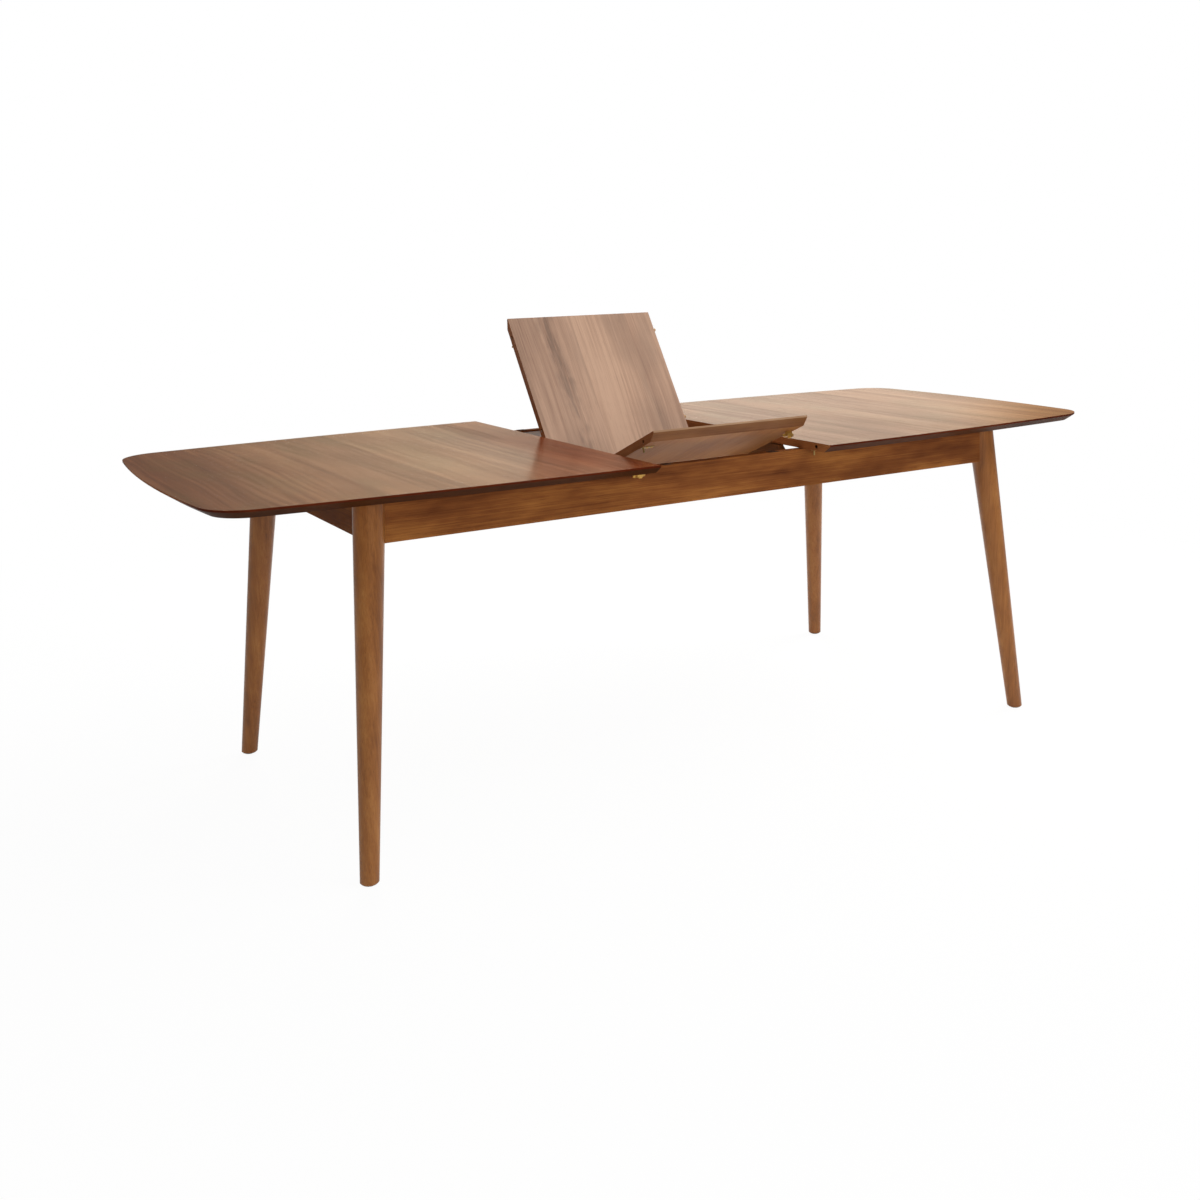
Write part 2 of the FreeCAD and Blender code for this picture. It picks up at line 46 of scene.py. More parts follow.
# Camera, at the photograph's place
CAMERA_AT = Vector((-1.62384, -2.698195, 1.179692))
CAMERA_YAW = math.radians(32.3947)
CAMERA_PITCH = math.radians(-13.9991)
CAMERA_ROLL = math.radians(-0.97237)
CAMERA_LENS = 39.7055
CAMERA_SHIFT = (-0.0601, -0.0199)
CAMERA_SENSOR = 36
CAMERA_REACH = 100

# The leaf's two axes, and how far each half is turned from flat, in degrees
pivot = joint_at["leaf_pivot"]
fold = joint_at["leaf_hinge"]
LEAF_BACK_TURN = 56.7
LEAF_FRONT_TURN = -22.6

# Light: an even base, and for reflections a low bright backdrop behind the table in a dim room.
# The backdrop's stops are bearings from +Y toward +X, in degrees, and what reflections see there.
# It fades out upward between two steepnesses, each the height of a direction of length 1.
AMBIENT = 0.36
WARM = (1.0, 0.985, 0.96)
BACKDROP_TOP = (0.13, 0.25)
BACKDROP_STOPS = (
    (11, (0.13, 0.11, 0.09)), (16, (0.48, 0.39, 0.27)), (22.5, (0.93, 0.78, 0.55)), (29, (1.0, 0.88, 0.7)),
    (35, (1.0, 0.95, 0.8)), (44.5, (1.0, 0.92, 0.74)), (46.2, (0.9, 0.76, 0.52)), (48, (0.4, 0.31, 0.17)),
    (54, (0.16, 0.125, 0.07)),
)
ROOM = (0.13, 0.125, 0.12, 1.0)
FULL_CIRCLE = 360
WHITE = (1.0, 1.0, 1.0, 1.0)

# Lamps: name, place, aim, size in metres, power in watts, and whether reflections show it
LAMPS = (
    ("key", (0.9, -1.5, 3.3), (0.3, 0, 0.7), (1.8, 1.8), 31, False),
    ("right", (2.7, 0.2, 2.3), (0, 0, 0.75), (1.8, 1.2), 68, False),
    ("side", (1.7, -1.5, 3.0), (0, 0.2, 0.9), (2.2, 2.2), 12, True),
    ("front", (-0.8, -4.6, 1.5), (0.2, 0, 0.5), (3.2, 1.6), 62, False),
    ("window", (1.0, 3.3, 2.0), (0, 0, 0.7), (2.4, 1.0), 100, False),
)

# Floor: half its side, the distances between which its shadow fades out, how white it is before that, the
# grey that takes the shadow, and how much of the white is left for reflections
FLOOR_REACH = 30
SHADOW_FADE = (1.2, 3.2)
WHITE_NEAR = 0.95
FLOOR_GREY = (0.9, 0.9, 0.9, 1.0)
REFLECTED_WHITE = 0.3

# The curve of screen colours
SRGB_TOE = 0.04045
SRGB_TOE_SLOPE = 12.92
SRGB_OFFSET = 0.055
SRGB_POWER = 2.4


def srgb(red, green, blue):
    """A colour as seen on a screen, 0 to 255, as linear RGBA."""
    linear = []
    for channel in (red, green, blue):
        share = channel / 255
        curved = ((share + SRGB_OFFSET) / (1 + SRGB_OFFSET)) ** SRGB_POWER
        linear.append(share / SRGB_TOE_SLOPE if share <= SRGB_TOE else curved)
    return (*linear, 1.0)


# Scene
def make_camera():
    forward = Vector((math.sin(CAMERA_YAW) * math.cos(CAMERA_PITCH),
                      math.cos(CAMERA_YAW) * math.cos(CAMERA_PITCH), math.sin(CAMERA_PITCH)))
    level_right = Vector((math.cos(CAMERA_YAW), -math.sin(CAMERA_YAW), 0))
    level_up = level_right.cross(forward)
    right = level_right * math.cos(CAMERA_ROLL) + level_up * math.sin(CAMERA_ROLL)
    up = level_up * math.cos(CAMERA_ROLL) - level_right * math.sin(CAMERA_ROLL)
    data = bpy.data.cameras.new("camera")
    data.lens = CAMERA_LENS
    data.sensor_width = CAMERA_SENSOR
    data.shift_x, data.shift_y = CAMERA_SHIFT
    data.clip_end = CAMERA_REACH
    camera = bpy.data.objects.new("camera", data)
    bpy.context.scene.collection.objects.link(camera)
    turn = Matrix((right, up, -forward)).transposed().to_4x4()
    camera.matrix_world = Matrix.Translation(CAMERA_AT) @ turn
    bpy.context.scene.camera = camera


def make_lamp(name, place, aim, size, power, in_reflections):
    data = bpy.data.lights.new(name, "AREA")
    data.shape = "RECTANGLE"
    data.size, data.size_y = size
    data.energy = power
    data.color = WARM
    lamp = bpy.data.objects.new(name, data)
    bpy.context.scene.collection.objects.link(lamp)
    lamp.location = place
    lamp.rotation_euler = (Vector(aim) - Vector(place)).to_track_quat("-Z", "Y").to_euler()
    lamp.visible_glossy = in_reflections


class Graph:
    """Short names for the shader nodes used here. Every call returns an output socket."""

    def __init__(self, tree):
        self.tree = tree
        tree.nodes.clear()

    def node(self, kind, settings=None, **inputs):
        made = self.tree.nodes.new(kind)
        for name, value in (settings or {}).items():
            setattr(made, name, value)
        for name, value in inputs.items():
            self.set(made.inputs[name.replace("_", " ")], value)
        return made

    def set(self, socket, value):
        if isinstance(value, bpy.types.NodeSocket):
            self.tree.links.new(value, socket)
        elif value is not None:
            socket.default_value = value

    def math(self, operation, a, b=None):
        made = self.tree.nodes.new("ShaderNodeMath")
        made.operation = operation
        self.set(made.inputs[0], a)
        self.set(made.inputs[1], b)
        return made.outputs[0]

    def plus(self, a, b):
        return self.math("ADD", a, b)

    def minus(self, a, b):
        return self.math("SUBTRACT", a, b)

    def times(self, a, b):
        return self.math("MULTIPLY", a, b)

    def vector(self, operation, a, b=None):
        made = self.tree.nodes.new("ShaderNodeVectorMath")
        made.operation = operation
        self.set(made.inputs[0], a)
        if operation == "SCALE":
            self.set(made.inputs["Scale"], b)
        else:
            self.set(made.inputs[1], b)
        return made.outputs["Value"] if operation == "LENGTH" else made.outputs[0]

    def split(self, vector):
        return self.node("ShaderNodeSeparateXYZ", Vector=vector).outputs

    def join(self, x, y, z):
        return self.node("ShaderNodeCombineXYZ", X=x, Y=y, Z=z).outputs[0]

    def noise(self, vector, detail, rough):
        made = self.node("ShaderNodeTexNoise", Vector=vector, Scale=1.0, Detail=detail, Roughness=rough)
        return made.outputs[0]

    def ramp(self, factor, stops, blend="LINEAR"):
        made = self.node("ShaderNodeValToRGB", Fac=factor)
        made.color_ramp.interpolation = blend
        elements = made.color_ramp.elements
        while len(elements) < len(stops):
            elements.new(0.5)
        for element, (place, colour) in zip(elements, stops):
            element.position = place
            element.color = colour if len(colour) == 4 else (*colour, 1.0)
        return made.outputs[0]

    def steps(self, factor, low, high):
        """0 below low, 1 above high, smooth between."""
        made = self.node("ShaderNodeMapRange", {"interpolation_type": "SMOOTHSTEP"}, Value=factor)
        made.inputs["From Min"].default_value = low
        made.inputs["From Max"].default_value = high
        return made.outputs[0]

    def mix(self, factor, a, b, blend="MIX"):
        made = self.node("ShaderNodeMix", {"data_type": "RGBA", "blend_type": blend})
        self.set(made.inputs[0], factor)
        self.set(made.inputs[6], a)
        self.set(made.inputs[7], b)
        return made.outputs[2]

    def turn(self, vector, centre, degrees):
        made = self.node("ShaderNodeVectorRotate", {"rotation_type": "X_AXIS"}, Vector=vector)
        made.inputs["Center"].default_value = centre
        made.inputs["Angle"].default_value = math.radians(degrees)
        return made.outputs[0]

    def bump(self, height, distance, strength):
        made = self.node("ShaderNodeBump", Height=height)
        made.inputs["Strength"].default_value = strength
        made.inputs["Distance"].default_value = distance
        return made.outputs[0]


def new_material(name):
    material = bpy.data.materials.new(name)
    material.use_nodes = True
    return material, Graph(material.node_tree)


def finish_material(graph, **inputs):
    shader = graph.node("ShaderNodeBsdfPrincipled")
    for name, value in inputs.items():
        graph.set(shader.inputs[name.replace("_", " ")], value)
    graph.node("ShaderNodeOutputMaterial", Surface=shader.outputs[0])


def make_world():
    """White to the camera. Reflections show a low bright backdrop behind the table, and a dim room."""
    world = bpy.data.worlds.new("studio")
    bpy.context.scene.world = world
    world.use_nodes = True
    g = Graph(world.node_tree)
    x, y, z = g.split(g.node("ShaderNodeTexCoord").outputs["Generated"])
    path = g.node("ShaderNodeLightPath").outputs
    below_top = g.minus(1.0, g.steps(z, *BACKDROP_TOP))
    bearing = g.math("DIVIDE", g.math("ARCTAN2", x, y), math.radians(FULL_CIRCLE))
    backdrop = g.ramp(bearing, [(degrees / FULL_CIRCLE, colour) for degrees, colour in BACKDROP_STOPS])
    room = g.mix(below_top, ROOM, backdrop)
    ambient = g.mix(path["Is Glossy Ray"], (AMBIENT, AMBIENT, AMBIENT, 1.0), room)
    seen = g.math("MAXIMUM", path["Is Camera Ray"], path["Is Transmission Ray"])
    colour = g.mix(seen, ambient, WHITE)
    background = g.node("ShaderNodeBackground", Color=colour, Strength=1.0)
    g.node("ShaderNodeOutputWorld", Surface=background.outputs[0])


def make_floor():
    """Plain white floor with a faint shadow near the table, and pure white further out."""
    mesh = bpy.data.meshes.new("floor")
    corners = [(x * FLOOR_REACH, y * FLOOR_REACH, 0) for x, y in ((-1, -1), (1, -1), (1, 1), (-1, 1))]
    mesh.from_pydata(corners, [], [(0, 1, 2, 3)])
    floor = bpy.data.objects.new("floor", mesh)
    bpy.context.scene.collection.objects.link(floor)
    material, g = new_material("floor")
    path = g.node("ShaderNodeLightPath").outputs
    away = g.vector("LENGTH", g.node("ShaderNodeTexCoord").outputs["Object"])
    far = g.steps(away, *SHADOW_FADE)
    whiteness = g.plus(WHITE_NEAR, g.times(far, 1 - WHITE_NEAR))
    plain = g.node("ShaderNodeBsdfDiffuse", Color=FLOOR_GREY).outputs[0]
    white = g.node("ShaderNodeEmission", Color=WHITE, Strength=1.0).outputs[0]
    seen = g.math("MAXIMUM", path["Is Camera Ray"], path["Is Transmission Ray"])
    seen = g.math("MAXIMUM", seen, g.times(path["Is Glossy Ray"], REFLECTED_WHITE))
    mixed = g.node("ShaderNodeMixShader", Fac=g.times(seen, whiteness))
    g.set(mixed.inputs[1], plain)
    g.set(mixed.inputs[2], white)
    g.node("ShaderNodeOutputMaterial", Surface=mixed.outputs[0])
    mesh.materials.append(material)


# Wood. A pattern is its repeats per metre across the grain and along it, its detail and its roughness.
FIBRES = (520.0, 6.0, 3.0, 0.6)
PORES = (1100.0, 30.0, 1.0, 0.5)
BENDS = (4.0, 0.9, 2.0, 0.5)
CLOUDS = (7.0, 1.5, 3.0, 0.5)
PATCHES = (9.0, 4.0, 2.0, 0.5)
BLOTCHES = (18.0, 5.0, 3.0, 0.6)
SWAYS = (3.0, 7.0, 3.0, 0.6)
MARKS = (70.0, 9.0, 3.0, 0.6)
BAND_REPEATS = (95.0, 30.0, 1.1)
BAND_DETAIL = 4.0
BAND_ROUGHNESS = 0.6

# What both kinds of wood share: how dark pores are, and how high fibres stand beside a pore's depth of 1
PORE_SHADE = 0.4
FIBRE_HEIGHT = 0.5

# Veneer: what each pattern adds to the tone, and from where to where each mark sets in
VENEER_WAVINESS = 0.12
PLANK_SHIFT = 5.0
VENEER_WEIGHTS = {"bands": 0.4, "fine": 0.3, "cloud": 0.45, "tone": 0.2}
VENEER_SPREAD = 0.15
OLIVE_FROM = (0.45, 0.7)
OLIVE_SHARE = 0.45
STREAKS_FROM = (0.6, 0.72)
STREAK_SHARE = 0.3
FIGURE_SWAY = 0.12
FIGURE_FADE = (0.03, 0.004)
MARKS_FROM = (0.38, 0.62)
FIGURE_SHARE = 0.42
SHEEN_FROM = (0.36, 0.64)

# Plain hardwood: the same
PLAIN_WAVINESS = 0.05
BAND_WEIGHT = 0.2
FINE_WEIGHT = 0.25
PLAIN_SPREAD = (0.14, 0.16)
DASHES_FROM = (0.6, 0.7)
DASH_SHARE = 0.28


def place_in(graph, turns):
    """Object place and normal, turned back to where the piece lies flat."""
    coordinates = graph.node("ShaderNodeTexCoord").outputs
    place, normal = coordinates["Object"], coordinates["Normal"]
    for centre, degrees in turns:
        place = graph.turn(place, centre, degrees)
        normal = graph.turn(normal, (0, 0, 0), degrees)
    return place, normal


def grain_place(graph, place, along, seed):
    """The place with Z along the grain, moved by the seed so that no two boards are alike."""
    x, y, z = graph.split(place)
    order = {"X": (y, z, x), "Y": (x, z, y), "Z": (x, y, z)}[along]
    return graph.vector("ADD", graph.join(*order), seed)


def pattern(graph, place, across, along, detail, rough):
    """Noise drawn out along the grain, which runs along Z."""
    return graph.noise(graph.vector("MULTIPLY", place, (across, across, along)), detail, rough)


def fibres(graph, place, waviness):
    """Fine fibre, pore and growth band factors of a board whose grain runs along Z."""
    fine = pattern(graph, place, *FIBRES)
    pores = pattern(graph, place, *PORES)
    bend = pattern(graph, place, *BENDS)
    x, y, z = graph.split(place)
    bent = graph.join(graph.plus(x, graph.times(bend, waviness)), y, z)
    bands = graph.noise(graph.vector("MULTIPLY", bent, BAND_REPEATS), BAND_DETAIL, BAND_ROUGHNESS)
    return fine, pores, bands


def shaded(colour, share):
    """The colour with its brightness times the share."""
    return tuple(channel * share for channel in colour[:3]) + (1.0,)


def weighed(graph, *pairs):
    """Sum of factors, each times its weight."""
    total = graph.times(*pairs[0])
    for factor, weight in pairs[1:]:
        total = graph.plus(total, graph.times(factor, weight))
    return total


def plank_tone(graph, flat_x, planks):
    """Tone of the plank at a place: planks are (left edge, tone) pairs, from left to right."""
    left, right = planks[0][0], planks[-1][0] + PLANK_WIDTH
    share = graph.math("DIVIDE", graph.minus(flat_x, left), right - left)
    stops = [((edge - left) / (right - left), (tone, tone, tone)) for edge, tone in planks]
    return graph.ramp(share, stops, "CONSTANT")


def with_figure(graph, colour, place, flat_x, figure_x):
    """The colour with dark marks along a swaying line beside the middle of a plank."""
    sway = graph.minus(pattern(graph, place, *SWAYS), 0.5)
    swayed = graph.plus(flat_x, graph.times(sway, FIGURE_SWAY))
    off = graph.math("ABSOLUTE", graph.minus(swayed, figure_x))
    marks = graph.steps(pattern(graph, place, *MARKS), *MARKS_FROM)
    figure = graph.times(graph.steps(off, *FIGURE_FADE), marks)
    return graph.mix(graph.times(figure, FIGURE_SHARE), colour, FIGURE)


def veneer_colour(graph, place, flat_x, look):
    """Walnut veneer laid in planks, each with its own tone and figure."""
    dark, mid, light, olive = look["tones"]
    grain = look["grain"]
    tone = plank_tone(graph, flat_x, look["planks"])
    moved = graph.vector("ADD", place, graph.vector("SCALE", tone, PLANK_SHIFT))
    fine, pores, bands = fibres(graph, moved, VENEER_WAVINESS)
    cloud = pattern(graph, moved, *CLOUDS)
    patch = pattern(graph, moved, *PATCHES)
    weights = VENEER_WEIGHTS
    factor = weighed(graph, (bands, weights["bands"] * grain), (fine, weights["fine"] * grain),
                     (cloud, weights["cloud"]), (tone, weights["tone"]))
    middle = ((weights["bands"] + weights["fine"]) * grain + weights["cloud"] + weights["tone"]) / 2
    spread = VENEER_SPREAD
    colour = graph.ramp(factor, [(middle - spread, dark), (middle, mid), (middle + spread, light)])
    colour = graph.mix(graph.times(graph.steps(patch, *OLIVE_FROM), OLIVE_SHARE), colour, olive)
    streaks = graph.steps(pores, *STREAKS_FROM)
    colour = graph.mix(graph.times(streaks, STREAK_SHARE * grain), colour, shaded(dark, PORE_SHADE))
    if "figure_x" in look:
        colour = with_figure(graph, colour, moved, flat_x, look["figure_x"])
    # On the left half beside the gap, a redder and darker tint: painted shade and reflection of the raised
    # leaf
    if "leaf_shade_from" in look:
        colour = graph.mix(graph.steps(flat_x, *look["leaf_shade_from"]), colour, LEAF_SHADE_TINT, "MULTIPLY")
    height = graph.minus(graph.times(fine, FIBRE_HEIGHT), streaks)
    sheen = graph.steps(weighed(graph, (bands, 0.5), (cloud, 0.5)), *SHEEN_FROM)
    return colour, height, fine, sheen


def solid_colour(graph, place, tones, mottle):
    """Stained plain hardwood with short dark dashes and soft blotches."""
    dark, mid, light = tones
    fine, pores, bands = fibres(graph, place, PLAIN_WAVINESS)
    blotch = pattern(graph, place, *BLOTCHES)
    factor = weighed(graph, (bands, BAND_WEIGHT), (fine, FINE_WEIGHT), (blotch, mottle))
    middle = (BAND_WEIGHT + FINE_WEIGHT + mottle) / 2
    below, above = PLAIN_SPREAD
    colour = graph.ramp(factor, [(middle - below, dark), (middle, mid), (middle + above, light)])
    dashes = graph.steps(pores, *DASHES_FROM)
    colour = graph.mix(graph.times(dashes, DASH_SHARE), colour, shaded(dark, PORE_SHADE))
    height = graph.minus(graph.times(fine, FIBRE_HEIGHT), dashes)
    return colour, height, fine


# Tones from dark to light. The veneers have an olive tone as well, for their patches.
VENEER = (srgb(106, 58, 32), srgb(138, 81, 47), srgb(166, 108, 66), srgb(120, 84, 44))
LEAF_VENEER = (srgb(108, 80, 64), srgb(156, 122, 100), srgb(188, 152, 126), srgb(136, 110, 92))
EDGE_WOOD = (srgb(38, 15, 4), srgb(56, 26, 8), srgb(74, 38, 14))
LEAF_EDGE_WOOD = (srgb(82, 46, 22), srgb(112, 70, 38), srgb(136, 92, 54))
RIM_WOOD = (srgb(46, 14, 6), srgb(78, 30, 14), srgb(104, 50, 26))
LEAF_RIM_WOOD = (srgb(120, 86, 60), srgb(150, 116, 88), srgb(170, 138, 108))
END_WOOD = (srgb(112, 64, 33), srgb(148, 92, 52), srgb(172, 116, 72))
UNDER_WOOD = (srgb(126, 78, 40), srgb(150, 97, 52), srgb(168, 116, 66))
FRAME_WOOD = (srgb(80, 41, 19), srgb(121, 71, 35), srgb(164, 108, 54))
LEG_WOOD = (srgb(106, 60, 22), srgb(139, 86, 38), srgb(166, 112, 58))
# The end aprons' tones are the frame wood made darker: painted shade on the ends of the frame
SHADED_END_APRON_WOOD = (srgb(66, 32, 8), srgb(104, 57, 18), srgb(142, 90, 36))
INNER_WOOD = (srgb(80, 44, 18), srgb(118, 72, 34), srgb(150, 102, 56))
PALE_WOOD = (srgb(150, 116, 80), srgb(188, 152, 112), srgb(206, 174, 136))
FIGURE = srgb(70, 56, 50)
# Redder, darker tint beside the gap on the left half: painted shade and reflection of the raised leaf
LEAF_SHADE_TINT = (0.8, 0.55, 0.48, 1.0)
WORN_WOOD = srgb(150, 100, 62)

# A board of the top, in its flat place
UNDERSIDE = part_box("top_left")[0][2]
TABLE_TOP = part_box("top_left")[1][2]
PLANK_WIDTH = 0.16
LIP_HEIGHT = 0.004
LIP_BLEND = 0.0004
END_FACES = (0.995, 0.999)
TOP_FACES = (0.6, 0.8)
UNDER_FACES = (-0.8, -0.95)
EDGE_MOTTLE = 0.35
LIP_MOTTLE = 0.3
BOARD_MOTTLE = 0.4

# Its worn arris, and its gloss
WORN_FROM = (0.0009, 0.0001)
SCUFF_REPEATS = 60.0
SCUFF_DETAIL = 3.0
SCUFF_ROUGHNESS = 0.65
SCUFFS_FROM = (0.5, 0.68)
WORN_SHARE = 0.6
FINE_ROUGHNESS = 0.14
EDGE_ROUGHNESS = 0.2
SHEEN_SMOOTHNESS = 0.05
LEAST_ROUGHNESS = 0.03
PLAIN_SHINE = 0.5
# How much gloss and coat the left half loses beside the gap: a painted darker reflection of the raised
# leaf
DARK_REFLECTION_SHARE = 0.8
COAT_ROUGHNESS = 0.12
VENEER_BUMP = (0.00008, 0.4)


def board_colour(graph, place, normal, seed, look):
    """Veneer on the face, stained lip and bevel with a worn arris, redder ends, plainer wood below."""
    grain, crosswise = grain_place(graph, place, "Y", seed), grain_place(graph, place, "X", seed)
    across, _, height_in = graph.split(place)
    sideways, _, up = graph.split(normal)
    face, face_height, fine, sheen = veneer_colour(graph, grain, across, look)
    edge, edge_height, _ = solid_colour(graph, crosswise, look["edge"], EDGE_MOTTLE)
    lip, _, _ = solid_colour(graph, crosswise, look["rim"], LIP_MOTTLE)
    end, _, _ = solid_colour(graph, grain, END_WOOD, BOARD_MOTTLE)
    under, _, _ = solid_colour(graph, grain, UNDER_WOOD, BOARD_MOTTLE)
    lip_bottom = TABLE_TOP - LIP_HEIGHT
    colour = graph.mix(graph.steps(height_in, lip_bottom - LIP_BLEND, lip_bottom + LIP_BLEND), edge, lip)
    colour = graph.mix(graph.steps(graph.math("ABSOLUTE", sideways), *END_FACES), colour, end)
    scuffs = graph.noise(graph.vector("SCALE", place, SCUFF_REPEATS), SCUFF_DETAIL, SCUFF_ROUGHNESS)
    near_top = graph.steps(height_in, *(TABLE_TOP - below for below in WORN_FROM))
    worn = graph.times(near_top, graph.steps(scuffs, *SCUFFS_FROM))
    colour = graph.mix(graph.times(worn, WORN_SHARE), colour, WORN_WOOD)
    colour = graph.mix(graph.steps(up, *UNDER_FACES), colour, under)
    is_face = graph.steps(up, *TOP_FACES)
    colour = graph.mix(is_face, colour, face)
    return colour, graph.mix(is_face, edge_height, face_height), fine, sheen, is_face


def top_material(name, turns, seed, look):
    """A board of the top: its colours, with a lacquer that is glossier on the face than at the edges."""
    material, g = new_material(name)
    place, normal = place_in(g, turns)
    colour, height, fine, sheen, is_face = board_colour(g, place, normal, seed, look)
    off_face = g.minus(1.0, is_face)
    rough = weighed(g, (fine, FINE_ROUGHNESS), (off_face, EDGE_ROUGHNESS), (sheen, -SHEEN_SMOOTHNESS))
    rough = g.plus(rough, look["rough"] + LEAST_ROUGHNESS)
    dullest = PLAIN_SHINE - look["sheen"] / 2 - look["edge_shine"]
    face_shine = g.plus(g.times(sheen, look["sheen"]), dullest)
    shine = g.plus(look["edge_shine"], g.times(is_face, face_shine))
    coat = g.times(is_face, look["coat"]) if look["coat"] else 0.0
    # Beside the gap on the left half, duller gloss and coat: a painted darker reflection of the raised
    # leaf
    if "dark_reflection_from" in look:
        dark_reflection = g.steps(g.split(place)[0], *look["dark_reflection_from"])
        gloss = g.minus(1.0, g.times(dark_reflection, DARK_REFLECTION_SHARE))
        shine, coat = g.times(shine, gloss), g.times(coat, gloss)
    finish_material(g, Base_Color=colour, Roughness=rough, Specular_IOR_Level=shine,
                    Normal=g.bump(height, *VENEER_BUMP), Coat_Weight=coat, Coat_Roughness=COAT_ROUGHNESS)
    return material


# Gloss and relief of the plain wood
PLAIN_FINE_ROUGHNESS = 0.16
PLAIN_BUMP = (0.00015, 0.6)


def plain_wood(name, along, seed, tones, mottle, base_rough, shine):
    """Plain hardwood with its grain along one axis."""
    material, g = new_material(name)
    place = g.node("ShaderNodeTexCoord").outputs["Object"]
    colour, height, fine = solid_colour(g, grain_place(g, place, along, seed), tones, mottle)
    rough = g.plus(base_rough, g.times(fine, PLAIN_FINE_ROUGHNESS))
    finish_material(g, Base_Color=colour, Roughness=rough, Specular_IOR_Level=shine,
                    Normal=g.bump(height, *PLAIN_BUMP))
    return material


# Metal and matt plastic or felt
TARNISH_REPEATS = 60.0
TARNISH_DETAIL = 3.0
TARNISH_SHADE = 0.55
SCRATCH_REPEATS = (120.0, 1500.0, 1500.0)
SCRATCH_DETAIL = 2.0
METAL_ROUGHNESS = 0.6
SCRATCH_SPREAD = 0.2
SCRATCH_BUMP = (0.00003, 0.4)
METALLIC = 0.8
GRIT_DETAIL = 3.0
GRIT_ROUGHNESS = 0.65
GRIT_SHADES = (0.7, 1.3)
GRIT_STRENGTH = 0.6


def metal(name, colour, rough, tarnish):
    """Metal with soft darker clouds and fine scratches along X."""
    material, g = new_material(name)
    place = g.node("ShaderNodeTexCoord").outputs["Object"]
    cloud = g.noise(g.vector("SCALE", place, TARNISH_REPEATS), TARNISH_DETAIL, METAL_ROUGHNESS)
    scratches = g.noise(g.vector("MULTIPLY", place, SCRATCH_REPEATS), SCRATCH_DETAIL, METAL_ROUGHNESS)
    tint = g.mix(g.times(cloud, tarnish), colour, shaded(colour, TARNISH_SHADE))
    spread = g.plus(rough, g.times(scratches, SCRATCH_SPREAD))
    finish_material(g, Base_Color=tint, Metallic=METALLIC, Roughness=spread,
                    Normal=g.bump(scratches, *SCRATCH_BUMP))
    return material


def matt(name, colour, rough, repeats, depth):
    """Matt plastic or felt with an even grit."""
    material, g = new_material(name)
    place = g.node("ShaderNodeTexCoord").outputs["Object"]
    grit = g.noise(g.vector("SCALE", place, repeats), GRIT_DETAIL, GRIT_ROUGHNESS)
    darker, lighter = GRIT_SHADES
    tint = g.mix(grit, shaded(colour, darker), shaded(colour, lighter))
    finish_material(g, Base_Color=tint, Roughness=rough, Normal=g.bump(grit, depth, GRIT_STRENGTH))
    return material


def dress(names, material):
    """Give the material to solids of the frame."""
    for name in names:
        mesh = nodes[name].data
        mesh.materials.clear()
        mesh.materials.append(material)


def starts(*beginnings):
    """Names of the solids that start with one of these."""
    return sorted(n for n in nodes if n.startswith(beginnings))


# Screws. Every place is in the flat layout of its body, and then follows the body to its place at rest.
DOWN = (0, 0, -1)
FRONT, BACK = -1, 1
LEFT_HOOK_X = joint_at["hook_left_back_turn"].x
LEAF_HOOK_X = joint_at["hook_leaf_back_turn"].x
LATCH_Y = joint_at["hook_left_back_turn"].y
HOOK_HEAD_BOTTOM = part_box("hook_screws_left")[0][2]
RIGHT_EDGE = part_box("top_right")[0][0]
LEAF_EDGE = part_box("leaf_back")[0][0]
KEEPER_THICKNESS = 0.0015
KEEPER_SCREWS = (0.0145, 0.0255)
BRACKET_THICKNESS = 0.003
BRACKET_SCREWS_X = (0.166, 0.185)
BRACKET_SCREW_REACH = 0.016
BATTEN_SCREWS_Y = (-0.22, 0.0, 0.22)
RUNNER_SCREW_SHARES = (0.08, 0.36, 0.64, 0.92)
BLOCK_SCREW_REACH = 0.036

# Heads: radii in metres, rings as (reach, height) and cross in shares of the radius, and a turn in radians
SMALL_HEAD = 0.0026
CAP_HEAD = 0.0042
WOOD_HEAD = 0.004
RIM_POINTS = 20
HEAD_RINGS = ((1.0, 0.0), (1.0, 0.22), (0.86, 0.4), (0.62, 0.48))
CROSS_ARMS = 4
CROSS_ARM = 0.42
CROSS_HALF = 0.11
CROSS_CORNERS = ((CROSS_ARM, -CROSS_HALF), (CROSS_ARM, CROSS_HALF), (CROSS_HALF, CROSS_HALF))
CROSS_DEPTH = 0.4
SPIN_STEP = 0.9


def joined(mesh, lower, upper):
    """Faces between two closed rows with equally many points."""
    faces = []
    for point in range(len(lower)):
        after = (point + 1) % len(lower)
        faces.append(mesh.faces.new((lower[point], lower[after], upper[after], upper[point])))
    return faces


